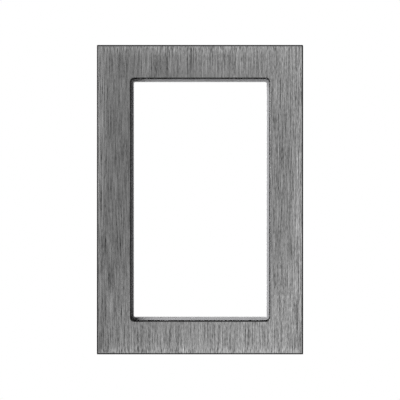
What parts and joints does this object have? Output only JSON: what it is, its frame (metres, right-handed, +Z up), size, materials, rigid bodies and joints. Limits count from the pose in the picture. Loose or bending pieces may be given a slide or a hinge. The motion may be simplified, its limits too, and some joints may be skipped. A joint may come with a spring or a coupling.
{
  "type": "two-gang switch frame",
  "caption": "Upright rectangular wall frame for switch inserts: brushed steel cover with an undivided window, folded over a ribbed plastic carrier.",
  "frame": {"origin": "middle of the window, on the wall plane that the rear rim stands on", "axes": "+Z up along the long side, +Y into the wall, +X to the right as seen from the front; the face looks along -Y"},
  "size_m": [0.0814, 0.009, 0.1222],
  "materials": {
    "brushed_cover": "brushed along the long side",
    "grey_carrier": "fine satin"
  },
  "bodies": {
    "root": {"front_cover": "brushed_cover", "carrier_frame": "grey_carrier"}
  },
  "joints": []
}
